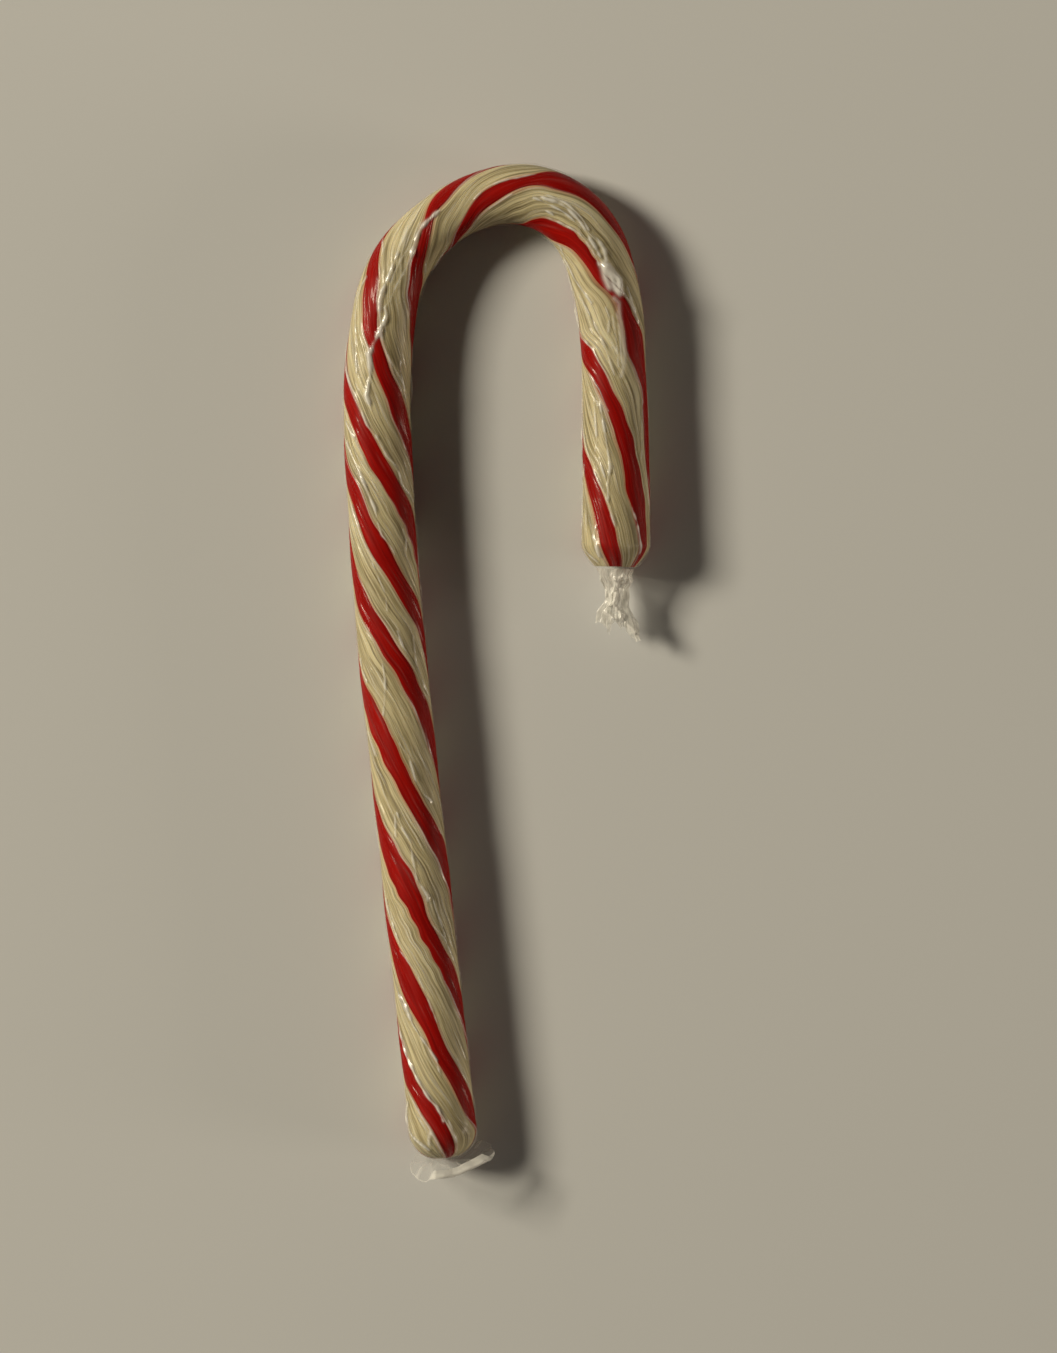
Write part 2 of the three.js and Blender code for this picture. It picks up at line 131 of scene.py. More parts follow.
# ---- The candy's fine surface ----
CANDY_STEP = 0.4  # mesh spacing along the rod
ROUNDING_STEPS = 14  # rings on each rounded end
BAND_FACETS = 22  # mesh faces across the white between two stripes
STRIPE_FACETS = 14  # across a stripe
FLOOR_FACETS = 4  # across the bottom of a channel
SEAM = 0.02  # clearance between a stripe and the white
STRIPE_PROUD = 0.1  # how far a stripe stands out of the white
EDGE_WAVER = 0.06  # how far a stripe's edges waver, as a share of its half width
EDGE_WAVES = (3, 24)  # the range of that waver's wavelengths
LUMP_HEIGHT = 0.035  # of the candy's broad unevenness
GROOVE_HEIGHT = 0.018  # of the fine lines along the twist that pulling leaves
CANDY_LIFT = 0.12  # the flat underside's height above the floor, with the film under it

# ---- The film over the candy ----
FILM_GAP = 0.06  # least clearance between film and candy
FLOOR_GAP = 0.02  # least height of the film above the floor
FILM_STEP = 0.3  # mesh spacing along the rod
FILM_FACETS = 264  # mesh faces round it
FILM_INSET = 0.2  # how far in from the candy's tips it turns in to its necks
SLACK = 0.05  # how far it hangs off the candy in places
# The small creases along the twist: how many, and the ranges of their length, of their width in degrees
# and of their height, and their whiteness for each millimetre of height, partly milky film and partly
# painted highlight.
CREASES = (
    (150, (5, 24), (1.8, 3.6), (0.04, 0.15), 0.15),
    (520, (2.5, 11), (1.0, 1.6), (0.02, 0.07), 8.0),
)
CREASE_SLANT = 1.2  # the most degrees that one turns off the twist with each millimetre
RED_VEIL = 0.1  # how strongly the small creases' whiteness and the painted glint hairs are drawn over the red, against over the white
PLEATS = 19  # folds round the film where it is gathered
PLEAT_DEPTH = 0.16
PLEAT_HAZE = 0.05
GATHERED = 5.0  # length over which the film is gathered towards either end
FOOT_NECK = (-0.35, 1.85)  # where the film is tied below the foot: distance and radius
HOOK_NECK = (ROD_LENGTH + 0.35, 2.9)  # and past the hook's end
NECK_RINGS = 7
# Where a stripe's edge lifts the film into a line that is drawn white, a painted highlight: the line's
# middle past the edge and its half width, in degrees, its height and its whiteness.
EDGE_LINE = (2.2, 1.5, 0.10, 0.7)
FOLD_WAVES = (1.3, 7)  # the range of wavelengths at which a fold thickens and thins
BROAD_FOLD = 0.3  # the half width from which a fold is even along its line
# The larger folds: half width, height, whiteness, and a line of (distance, angle from the front). The
# whiteness is partly milky film and partly painted highlight: lines drawn white that stand in for the
# light the folds catch.
FOOT_FOLDS = (
    (0.2, 0.2, 1, ((9.1, 64), (6.9, 82), (5.2, 80), (3.4, 55), (1.6, 33))),
    (0.2, 0.18, 1, ((4.2, 19), (3.3, 25), (2.3, 28))),
    (0.13, 0.1, 0.7, ((5.7, -12), (3.4, -20), (2.3, -25))),
    (0.17, 0.15, 0.95, ((20.6, 72), (16, 55), (11.4, 29), (9.1, 16), (8, 5), (5.7, -3))),
    (0.24, 0.18, 0.9, ((25.2, 57), (24, 46), (20.6, 33))),
    (0.14, 0.12, 0.85, ((20.6, 33), (17.2, 11), (14.9, -2), (12.6, -6))),
    (0.12, 0.1, 0.7, ((14.9, -39), (13.7, -44))),
)
SHAFT_FOLDS = (
    (0.1, 0.08, 0.55, ((32, 45), (28.6, 17), (25.2, 4), (20.6, -10))),
    (0.12, 0.1, 0.7, ((35.4, -18), (33.2, -39), (29.7, -56))),
    (0.14, 0.12, 0.85, ((41.2, 69), (38.9, 64), (36.6, 56), (33.2, 44))),
    (0.12, 0.12, 0.7, ((38.9, -26), (36.6, -32), (33.2, -43))),
    (0.22, 0.14, 0.6, ((41.2, -8), (39.5, -18), (38.9, -15))),
    (0.12, 0.14, 0.75, ((52.6, 20), (50.3, 14), (48, 2), (45.7, 2), (42.3, -2))),
    (0.12, 0.08, 0.6, ((52.6, 24), (49.2, 27))),
    (0.15, 0.14, 0.85, ((62.9, 3), (60.6, -11), (57.2, -17), (54.9, -30), (53.7, -44))),
    (0.3, 0.16, 0.65, ((65.2, 68), (61.7, 52))),
    (0.12, 0.1, 0.7, ((75.4, 18), (72.7, 16), (70, 20), (67.5, 26))),
    (0.17, 0.14, 0.85, ((76.1, 67), (74.7, 65), (72.7, 54))),
    (0.12, 0.12, 0.75, ((78.8, -41), (74.7, -42), (71.3, -55), (69.3, -70))),
    (0.17, 0.14, 0.9, ((79.8, -13), (77.4, -19), (76.7, -25))),
    (0.1, 0.08, 0.5, ((90.4, 20), (87.6, 10), (85.5, 2), (82.9, 2))),
    (0.1, 0.1, 0.55, ((91.7, -80), (88.3, -79), (85.6, -85))),
    (0.12, 0.12, 0.75, ((95.1, -37), (93.8, -43), (91, -39))),
    (0.11, 0.1, 0.6, ((96.5, 7), (94.4, 1), (93.1, -10), (91, -21))),
    (0.14, 0.12, 0.6, ((99.2, 58), (95.8, 40))),
)
SHOULDER_FOLDS = (
    (0.2, 0.15, 0.85, ((108.7, 62), (104, 33), (101.2, 21), (98.5, 10), (97.2, 8))),
    (0.1, 0.08, 0.45, ((108, 46), (104, 19), (99.9, -3))),
    (0.14, 0.12, 0.8, ((109.4, 2), (106, -16), (104.6, -34), (101.9, -41), (99.2, -71))),
    (0.14, 0.12, 0.75, ((112.9, 71), (109.4, 42))),
    (0.13, 0.12, 0.8, ((120.3, 75), (114.9, 34), (111, 16), (109.7, 6))),
    (0.13, 0.12, 0.8, ((121, -41), (119.4, -42), (115.2, -58))),
    (0.26, 0.22, 1, ((125.6, 1), (122.9, 12), (121.6, 18), (118.7, 12), (115.5, 18), (113.3, 9))),
    (0.12, 0.1, 0.7, ((125.6, 1), (123.3, -5), (120.8, -21), (115.7, -63))),
    (0.12, 0.12, 0.8, ((128.4, 8), (127.1, 5), (125.6, 1))),
    (0.22, 0.18, 0.95, ((128.9, 0), (127.7, -5), (125.6, 1))),
    (0.34, 0.28, 1, ((128.4, 8), (129.7, 11), (131, 11))),
    (0.2, 0.18, 0.95, ((131, 11), (132.7, 8), (134.1, 9), (137.2, 15))),
    (0.13, 0.12, 0.65, ((137.9, -9), (135.6, -14), (133.1, -11), (130.2, -7), (128.9, 0))),
    (0.26, 0.22, 1, ((145.7, 17), (142.2, 13), (141.2, 9), (140.2, 4), (138, -8))),
    (0.1, 0.08, 0.7, ((137.7, 72), (136.4, 47), (134.3, 34), (132.5, 20))),
    (0.15, 0.12, 0.65, ((132.2, 54), (130.8, 61), (127.7, 59), (123.2, 46), (118.8, 38))),
    (0.1, 0.06, 0.5, ((142.7, 66), (140.9, 56), (138.1, 38))),
    (0.1, 0.06, 0.5, ((142.4, 22), (139.1, 4), (132.5, 1))),
    (0.14, 0.1, 0.75, ((138.1, -44), (136.9, -57))),
    (0.12, 0.1, 0.6, ((143.4, -71), (140.9, -66), (138, -80))),
)
HOOK_FOLDS = (
    (0.12, 0.1, 0.6, ((150.9, 6), (153.1, 21), (157.4, 31), (159.3, 42))),
    (0.12, 0.1, 0.55, ((152.6, -22), (155.1, -9), (156.5, -1))),
    (0.2, 0.18, 1, ((160.6, 3), (161.8, 1), (164.5, 6), (167.7, 4), (170.9, 1), (174, 5))),
    (0.15, 0.12, 0.8, ((162.4, -18), (163.9, -18))),
    (0.13, 0.12, 0.85, ((161.5, 8), (164.4, 11), (167.7, 10), (169.5, 7))),
    (0.13, 0.12, 0.85, ((160, -4), (162.5, -6), (165.5, -3), (168.5, -2))),
    (0.13, 0.1, 0.65, ((162.8, -30), (165.3, -23), (169, -10), (173.5, -3), (175, -1))),
    (0.26, 0.2, 0.9, ((171.4, 12), (173.2, 15), (174.6, 13))),
    # The next four rows heap the film into a lump on the shoulder, drawn fully white as a painted
    # highlight.
    (0.5, 0.42, 1, ((175, 5), (177.1, 4), (178.6, 7))),
    (0.52, 0.5, 1, ((175.4, 13), (176.9, 20), (177.8, 26), (179.4, 22))),
    (0.34, 0.34, 1, ((175.6, 8), (177.4, 15), (179, 15), (179.9, 22))),
    (0.3, 0.22, 0.95, ((177.6, 24), (178.8, 25))),
)
LEG_FOLDS = (
    (0.34, 0.16, 0.6, ((180.3, 11), (181.1, 18), (183.2, 16), (189.4, 20), (191.9, 13))),
    (0.12, 0.1, 0.6, ((182.5, 11), (186, 12), (190, 14))),
    (0.12, 0.1, 0.55, ((183, 3), (187, 6), (190.5, 8))),
    (0.2, 0.07, 0.9, ((172, -76), (176, -83), (181, -83), (183.9, -78))),
    (0.16, 0.05, 0.9, ((193, -82), (198, -84), (203, -80))),
    (0.13, 0.1, 0.6, ((181.6, -6), (183, -3), (185.3, -7))),
    (0.19, 0.15, 0.85, ((179, 39), (181.1, 42), (184.3, 53))),
    (0.14, 0.12, 0.8, ((168.8, -58), (174.5, -73), (180.9, -84), (183.7, -78), (186.7, -50))),
    (0.19, 0.15, 0.85, ((172, -66), (175.9, -57), (178, -44), (180.4, -30))),
    (0.15, 0.12, 0.65, ((178.8, -54), (184, -29), (187.8, -13), (191.8, 1))),
    (0.1, 0.08, 0.6, ((191.5, -47), (193.9, -27), (197.2, -11))),
    (0.13, 0.1, 0.7, ((189.9, -73), (198.6, -77), (202.4, -61), (206.8, -36))),
    (0.15, 0.12, 0.8, ((195.7, -38), (201.7, -34), (203.2, -38))),
    (0.15, 0.14, 0.85, ((196.1, -26), (200.6, -18), (205.7, -10), (208.2, -15), (210.4, -13))),
    (0.15, 0.12, 0.8, ((204.3, -30), (207.2, -19))),
    (0.13, 0.12, 0.8, ((206.8, -36), (210.1, -17), (214.4, -2))),
    (0.14, 0.12, 0.7, ((205.3, -68), (209.3, -75), (215.2, -80), (218.4, -63), (220, -42))),
    (0.2, 0.16, 0.9, ((214.8, -36), (216.2, -40), (217.3, -33), (219.1, -32))),
    (0.11, 0.08, 0.55, ((210.8, -63), (215.9, -57))),
    (0.13, 0.12, 0.7, ((211.9, 27), (214.1, 37), (218.4, 47))),
    (0.1, 0.08, 0.5, ((195.5, 56), (204.6, 48))),
)
FOLDS = FOOT_FOLDS + SHAFT_FOLDS + SHOULDER_FOLDS + HOOK_FOLDS + LEG_FOLDS

# ---- The flared film below the foot ----
FLARE_FACETS = 300
FLARE_RADIUS = 6.35
FLARE_SHIFT = -0.93  # the rim's middle is off the axis, towards the hook's inside
FLARE_CHORD = 4.3  # the straight edge's distance from the flare's middle
FLARE_CHORD_ANGLE = -22
FLARE_PLACE = -0.23  # the distance along the rod of the rim's middle
FLARE_TIP = 0.6  # how much the rim drops away from the foot with each mm above the axis
FLARE_RISE = 0.43  # how much it comes back with each mm below
FLARE_SLANT = 0.095  # and how much it drops with each mm towards the hook's outside
FLARE_DEEPEST = 2.95  # the furthest that it drops past the foot
FLARE_BACK = (125, 165)  # degrees from the front over which the rise fades
FLARE_BACK_FADE = 0.75  # the share of it that fades
FLARE_RINGS = 46
FLARE_PLEATS = 11
FLARE_PLEAT_DEPTH = 0.13
FLARE_CRUMPLE = 0.08
DOME_GAP = 0.3  # least distance along the rod from the flare to the candy's dome
DOME_MARGIN = 0.4  # how far past the rod's radius that distance is kept
LIP_RINGS = 12  # rings of the lip, which is folded back towards the candy
LIP_WIDTH = 1.3  # along the straight edge
HEM_WIDTH = 0.15  # round the rest
LIP_ROLL = 0.45  # how far it bulges along the straight edge
LIP_LEAN = 0.5  # how far it leans in with each millimetre of width
LIP_SPAN = (-74, 38)  # the angles between which it is wide
LIP_FADE = 9  # degrees over which it widens from the hem

# ---- The twisted tail past the hook's end ----
TAIL_FACETS = 300
TAIL_RINGS = 90
TAIL_EDGES = (  # distance past the hook's end, left edge, right edge
    (0.35, -2.9, 2.9),
    (1.2, -2.6, 2.6),
    (2.1, -2.3, 2.9),
    (3.3, -1.7, 2.2),
    (5.1, -1.3, 2.2),
    (6.0, -1.9, 2.4),
    (7.0, -2.4, 3.0),
    (8.2, -2.4, 3.8),
    (11.0, -2.2, 4.6),
)
TAIL_DEPTHS = ((0.35, 2.9), (2, 2.2), (5, 1.5), (7, 1.3), (11, 1.0))  # half the height
TAIL_MIDDLE = 0.9  # the cut edge's middle, across the tail
TAIL_HALF = 3.4  # half its length
TAIL_RAGGED = 0.28  # how far it runs in and out
TAIL_ENDS = (  # place across the tail, distance past the hook's end of its cut edge
    (-3, 8.2),
    (-1.2, 9.6),
    (0.3, 8.2),
    (2, 9.2),
    (4.2, 10.8),
)
TAIL_TWIST = 150  # degrees that the pleats turn from the neck to the cut edge
TAIL_PLEAT_DEPTH = 0.13  # this and the next two are shares of the tail's radius
TAIL_CRUMPLE = 0.05
TAIL_WRINKLE = 0.025
# Its folds: half width, height, whiteness, partly milky film and partly painted highlight, and a line
# of (distance past the end, place across).
TAIL_FOLDS = (
    (0.26, 0.45, 0.85, ((1.4, -0.5), (1.95, -0.1), (1.95, 0.55), (1.5, 1.2))),
    (0.26, 0.45, 0.80, ((2.0, -0.1), (2.35, 0.45), (2.9, 0.55))),
    (0.30, 0.40, 0.70, ((2.35, 1.3), (2.25, 2.0))),
    (0.26, 0.50, 0.80, ((3.4, -0.1), (4.5, -0.5), (5.3, -0.4), (5.85, -0.6))),
    (0.26, 0.55, 0.90, ((4.0, 0.3), (5.0, 0.1), (5.75, 0), (6.4, 0.55), (7.0, 1.2))),
    (0.30, 0.45, 0.80, ((6.9, -0.95), (7.75, -0.1), (7.9, 1.0), (7.2, 1.3))),
    (0.22, 0.30, 0.60, ((8.0, -0.1), (8.6, -0.1), (8.9, 1.0))),
    (0.22, 0.30, 0.60, ((2.1, -2.3), (2.9, -1.8), (4.5, -1.2))),
    (0.30, 0.35, 0.50, ((8.4, 2.0), (9.5, 3.3), (10.7, 4.4))),
)

# ---- The picture ----
PHOTO_SIZE = (1057, 1353)
MM_PER_PIXEL = 0.1509
FOOT_PIXEL = (445.5, 1158)  # where the foot's tip lies in the picture
CAMERA_HEIGHT = 3000.0
SENSOR_HEIGHT = 36.0
LIGHTS = (  # name, place in metres, side of the softbox, watts, colour
    ("key", (-1.85, 0.67, 1.38), 0.6, 54, (1, 0.90, 0.70)),
    ("fill", (2.2, -0.4, 0.35), 0.6, 13, (1, 0.85, 0.66)),
)
SURROUND = (1, 0.91, 0.78, 1)
SURROUND_STRENGTH = 0.03
FLOOR_GREY = (0.67, 0.68, 0.69, 1)


# ---- Tables, and places on the rod ----


def value_at(rows, place):
    """The value at places in rows of (place, value), straight between rows and on past the ends."""
    places, values = np.array(rows, float).T
    upper = np.clip(np.searchsorted(places, place, side="right"), 1, len(places) - 1)
    share = (place - places[upper - 1]) / (places[upper] - places[upper - 1])
    return values[upper - 1] + share * (values[upper] - values[upper - 1])


def smoothed(rows, place, reach):
    """value_at, averaged over reach to each side."""
    shifts = np.linspace(-reach, reach, 5)
    return sum(value_at(rows, place + shift) for shift in shifts) / len(shifts)


def blend(first, second, share):
    """A value between two, with the share taken as at least 0 and at most 1."""
    return first + (second - first) * np.clip(share, 0, 1)


def wrapped(angle, turn=360):
    """An angle in degrees, as one from half a turn below 0 to half a turn above."""
    return (angle + turn / 2) % turn - turn / 2


def axis_at(distance):
    """The rod's axis at distances from the foot: x, y and heading in radians from +X."""
    x = np.full(distance.shape, FOOT_AT[0], float)
    y = np.full(distance.shape, FOOT_AT[1], float)
    heading = np.full(distance.shape, math.radians(90 + FOOT_LEAN))
    left = distance.astype(float)
    for index, (length, turn) in enumerate(BENDS):
        is_last = index == len(BENDS) - 1
        step = left if is_last else np.minimum(left, length)
        half = np.radians(turn * step / length) / 2
        chord = step * np.sinc(half / math.pi)
        x = x + chord * np.cos(heading - half)
        y = y + chord * np.sin(heading - half)
        heading = heading - 2 * half
        left = left - step
    return x, y, heading


def place_by_rod(distance, out, up):
    """Points beside the rod's axis: out towards the hook's outside, up above the axis."""
    x, y, heading = axis_at(distance)
    points = x - out * np.sin(heading), y + out * np.cos(heading), AXIS_HEIGHT + up + 0 * x
    return np.stack(points, axis=-1)


def radius_at(distance):
    """The rod's radius, with both ends narrowed to a flat tip."""
    foot_inset = 1 - np.clip(distance / FOOT_ROUNDING, 0, 1)
    hook_inset = 1 - np.clip((ROD_LENGTH - distance) / HOOK_ROUNDING, 0, 1)
    dome = blend(FOOT_TIP_SHARE, 1, np.sqrt(1 - foot_inset**2))
    chamfer = blend(HOOK_TIP_SHARE, 1, 1 - hook_inset**CHAMFER_CURVE)
    return ROD_RADIUS * smoothed(GIRTH, distance, GIRTH_SMOOTHING) * dome * chamfer


def rod_stations(step, inset=0, rings=ROUNDING_STEPS + 1):
    """Distances from the foot, from inset past its tip to inset before the hook's: step apart, and
    closer together on the rounded ends."""
    start, stop = inset, ROD_LENGTH - inset
    curve = 1 - np.cos(np.linspace(0, math.pi / 2, rings))
    foot_end = start + (FOOT_ROUNDING - start) * curve
    hook_end = stop - (HOOK_ROUNDING - (ROD_LENGTH - stop)) * curve[::-1]
    middle = np.arange(foot_end[-1] + step, hook_end[0] - step / 2, step)
    return np.concatenate((foot_end, middle, hook_end))[:, None]


# ---- The twist ----


def stripe_rows(stripe):
    """Rows of distance, middle and half width along a stripe. Stripe 4 is stripe 0 again, a turn
    behind it, and so on."""
    turns = stripe // STRIPES
    first = stripe - turns * STRIPES
    rows = []
    for index in range(first, len(STRIPE_PASSES), STRIPES):
        front = 360 * (index - first) / STRIPES - 360 * turns
        rows += [(place, front + angle, half) for place, angle, half in STRIPE_PASSES[index]]
    return rows


def stripe_middle(stripe, distance):
    """The angle of a stripe's middle, in degrees from the front towards the hook's outside."""
    rows = [(place, angle) for place, angle, _ in stripe_rows(stripe)]
    return smoothed(rows, distance, SMOOTHING)


def stripe_half(stripe, side, distance):
    """Half a stripe's width in degrees, to one side (-1 or 1) of its middle."""
    rng = np.random.default_rng([stripe % STRIPES, side + 1])
    waver = waves(rng, EDGE_WAVES, distance, 8)
    rows = [(place, half) for place, _, half in stripe_rows(stripe)]
    return smoothed(rows, distance, SMOOTHING) * (1 + EDGE_WAVER * waver)


def twisted_angle(straight, distance):
    """Angles on the untwisted log, where stripe n stands at -QUARTER * n, as on the twisted rod."""
    straight, distance = np.broadcast_arrays(straight, distance)
    stripe = np.round(-straight / QUARTER).astype(int)
    offset = straight + QUARTER * stripe
    twisted = np.zeros(straight.shape)
    for index in np.unique(stripe):
        for side in (-1, 1):
            here = (stripe == index) & ((offset > 0) == (side > 0))
            place = distance[here]
            away = np.abs(offset[here])
            middle = stripe_middle(index, place)
            edge = middle + side * stripe_half(index, side, place)
            neighbour = index - side
            facing = stripe_middle(neighbour, place) - side * stripe_half(neighbour, -side, place)
            in_stripe = blend(middle, edge, away / STRIPE_HALF)
            past_edge = (away - STRIPE_HALF) / (QUARTER / 2 - STRIPE_HALF)
            twisted[here] = blend(in_stripe, (edge + facing) / 2, past_edge)
    return twisted


# ---- Relief ----


def ripples(rng, around, along, straight, distance, count=24):
    """Smooth noise of about unit size: waves with around[0] to around[1] crests round the log, and
    wavelengths from along[0] to along[1] along it."""
    angle = np.radians(straight)
    total = 0
    for _ in range(count):
        crests = rng.integers(around[0], around[1] + 1)
        wavelength = rng.uniform(*along)
        phase = rng.uniform(0, 2 * math.pi)
        total = total + np.sin(crests * angle + 2 * math.pi * distance / wavelength + phase)
    return total * math.sqrt(2 / count)


def waves(rng, lengths, distance, count):
    """Smooth noise of about unit size along a line, with wavelengths from lengths[0] to lengths[1]."""
    total = 0
    for _ in range(count):
        wavelength = rng.uniform(*lengths)
        phase = rng.uniform(0, 2 * math.pi)
        total = total + np.sin(2 * math.pi * distance / wavelength + phase)
    return total / math.sqrt(count / 2)


def near_line(line, along, across, half_width):
    """How near places are to a line through points: 1 on it, and almost 0 two half widths away."""
    nearest = np.inf
    for (start, from_across), (stop, to_across) in zip(line, line[1:]):
        run, rise = stop - start, to_across - from_across
        share = ((along - start) * run + (across - from_across) * rise) / (run**2 + rise**2)
        share = np.clip(share, 0, 1)
        gap = np.hypot(along - start - share * run, across - from_across - share * rise)
        nearest = np.minimum(nearest, gap)
    return np.exp(-((nearest / half_width) ** 2))


def candy_relief(straight, distance):
    """How far the candy's surface stands out of the plain rod."""
    rng = np.random.default_rng(11)
    lumps = LUMP_HEIGHT * ripples(rng, (0, 3), (12, 45), straight, distance)
    grooves = GROOVE_HEIGHT * ripples(rng, (18, 70), (60, 400), straight, distance, 40)
    return lumps + grooves


# ---- Mesh building ----


def make_object(name, vertices, faces, sharp_degrees=50):
    """A mesh object from points in millimetres."""
    mesh = bpy.data.meshes.new(name)
    mesh.from_pydata((vertices * MM).tolist(), [], faces)
    mesh.validate()
    mesh.shade_smooth()
    mesh.set_sharp_from_angle(angle=math.radians(sharp_degrees))
    piece = bpy.data.objects.new(name, mesh)
    bpy.context.scene.collection.objects.link(piece)
    return piece


def tube_faces(rings, around):
    """Quads of a grid of rings that close on themselves, facing out where angles fall round a ring."""
    ring, step = np.meshgrid(np.arange(rings - 1), np.arange(around), indexing="ij")
    following = (step + 1) % around
    first = ring * around
    second = first + around
    quads = first + step, first + following, second + following, second + step
    return np.stack(quads, axis=-1).reshape(-1, 4).tolist()


def joined(*parts):
    """Grids of rings one after another. Each part holds several grids, such as radii and milkiness."""
    return [np.concatenate(grids) for grids in zip(*parts)]


def make_rod(name, grid):
    """A closed piece from a grid of rings, with a flat cap on each end."""
    rings, around = grid.shape[:2]
    faces = tube_faces(rings, around)
    faces.append(list(range(around))[::-1])
    faces.append(list(range((rings - 1) * around, rings * around)))
    return make_object(name, grid.reshape(-1, 3), faces)


def make_film(name, grid, milk_and_highlight, log, hairs=1.0):
    """A sheet of film from a grid of rings. At each point it has a whiteness, partly milky film and
    partly painted highlight, a place on the log, and a share of the fine hairs that the material
    draws as painted glints."""
    rings, around = grid.shape[:2]
    grid[..., 2] = np.maximum(grid[..., 2], FLOOR_GAP)
    piece = make_object(name, grid.reshape(-1, 3), tube_faces(rings, around), sharp_degrees=75)
    point_value(piece, "milk_and_highlight", np.clip(np.broadcast_to(milk_and_highlight, (rings, around)), 0, 1))
    point_value(piece, "hairs", np.broadcast_to(hairs, (rings, around)))
    point_vector(piece, "log", log)
    return piece


def point_value(piece, name, values):
    """Stores a number at each of a piece's vertices, for its material to read."""
    layer = piece.data.attributes.new(name, "FLOAT", "POINT")
    layer.data.foreach_set("value", np.asarray(values, np.float32).ravel())


def point_vector(piece, name, vectors):
    """Stores a vector at each of a piece's vertices, for its material to read."""
    layer = piece.data.attributes.new(name, "FLOAT_VECTOR", "POINT")
    layer.data.foreach_set("vector", np.asarray(vectors, np.float32).ravel())


# ---- The candy ----


def round_rod(straight, distance, radius):
    """Points at angles on the log and radii from the axis."""
    twisted = np.radians(twisted_angle(straight, distance))
    return place_by_rod(distance, radius * np.sin(twisted), radius * np.cos(twisted))


def on_candy(straight, distance, radius):
    """Points of the candy, which is flat underneath."""
    points = round_rod(straight, distance, radius)
    points[..., 2] = np.maximum(points[..., 2], CANDY_LIFT)
    return points


def log_coordinates(straight, distance):
    """Places on the untwisted log, so that a pattern drawn in them follows the twist."""
    angle = np.radians(straight)
    radius = ROD_RADIUS + 0 * distance
    return np.stack((radius * np.cos(angle), radius * np.sin(angle), distance + 0 * angle), -1)


def make_candy_body():
    """The white rod, with a channel for each stripe."""
    stations = rod_stations(CANDY_STEP)
    angles, shares = [], []
    channel = STRIPE_HALF + math.degrees(SEAM / ROD_RADIUS)
    for stripe in range(STRIPES):
        centre = -QUARTER * stripe
        floor = np.linspace(centre + channel, centre - channel, FLOOR_FACETS + 1)
        band = np.linspace(centre - channel, centre - QUARTER + channel, BAND_FACETS + 1)
        angles += [floor, band]
        shares += [np.full(floor.shape, STRIPE_FLOOR), np.ones(band.shape)]
    straight = np.concatenate(angles)[None, :]
    share = np.concatenate(shares)[None, :]
    relief = np.where(share == 1, candy_relief(straight, stations), 0)
    body = make_rod("candy_white", on_candy(straight, stations, radius_at(stations) * share + relief))
    offset = np.abs(wrapped(straight, QUARTER))
    edge = np.radians(offset - STRIPE_HALF) * radius_at(stations)
    point_value(body, "edge", np.maximum(0, edge))
    point_vector(body, "log", log_coordinates(straight, stations))
    return body


def make_stripe(stripe):
    """A red stripe, a strip that fills its channel and stands a little proud of it."""
    stations = rod_stations(CANDY_STEP)
    centre = -QUARTER * stripe
    outer = np.linspace(centre + STRIPE_HALF, centre - STRIPE_HALF, STRIPE_FACETS + 1)
    inner = np.linspace(centre - STRIPE_HALF, centre + STRIPE_HALF, FLOOR_FACETS + 1)
    straight = np.concatenate((outer, inner))[None, :]
    across = (straight - centre) / STRIPE_HALF
    crown = STRIPE_PROUD * np.sqrt(np.maximum(0, 1 - across**2))
    top = radius_at(stations) + candy_relief(straight, stations) + crown
    bottom = radius_at(stations) * STRIPE_FLOOR + SEAM + 0 * straight
    is_outer = (np.arange(straight.shape[1]) <= STRIPE_FACETS)[None, :]
    points = on_candy(straight, stations, np.where(is_outer, top, bottom))
    piece = make_rod(f"candy_red_{stripe + 1}", points)
    edge = np.radians(STRIPE_HALF * (1 - np.abs(across))) * radius_at(stations)
    point_value(piece, "edge", edge)
    point_vector(piece, "log", log_coordinates(straight, stations))
    return piece


# ---- The film over the candy ----


def film_angles(facets):
    """Angles round the film, falling as the faces need them."""
    return np.linspace(0, -360, facets, endpoint=False)[None, :]


def crease(straight, distance, centre, at, length, width, slant):
    """A ridge along the twist, from 0 to 1: its middle at (centre, at), its width in degrees."""
    along = (distance - at) / (length / 2)
    away = wrapped(straight - centre - slant * (distance - at))
    return np.clip(1 - along**2, 0, 1) ** 2 * np.exp(-((away / width) ** 2))


def small_creases(straight, distance):
    """The film's many small ridges along the twist: their height and their whiteness, partly milky film
    and partly painted highlight.
    """
    rng = np.random.default_rng(5)
    height = np.zeros(np.broadcast(straight, distance).shape)
    milk_and_highlight = np.zeros(height.shape)
    for count, lengths, widths, sizes, milk_and_highlight_weight in CREASES:
        for _ in range(count):
            at = rng.uniform(2, ROD_LENGTH - 2)
            length = rng.uniform(*lengths)
            size = rng.uniform(*sizes)
            centre = rng.uniform(0, 360)
            width = rng.uniform(*widths)
            slant = rng.uniform(-CREASE_SLANT, CREASE_SLANT)
            near = np.abs(distance[:, 0] - at) < length / 2
            ridge = size * crease(straight, distance[near], centre, at, length, width, slant)
            height[near] += ridge
            milk_and_highlight[near] += milk_and_highlight_weight * ridge
    return height, milk_and_highlight


def veil(straight):
    """1 over the white, and RED_VEIL over a stripe."""
    return np.where(np.abs(wrapped(straight, QUARTER)) > STRIPE_HALF, 1.0, RED_VEIL)


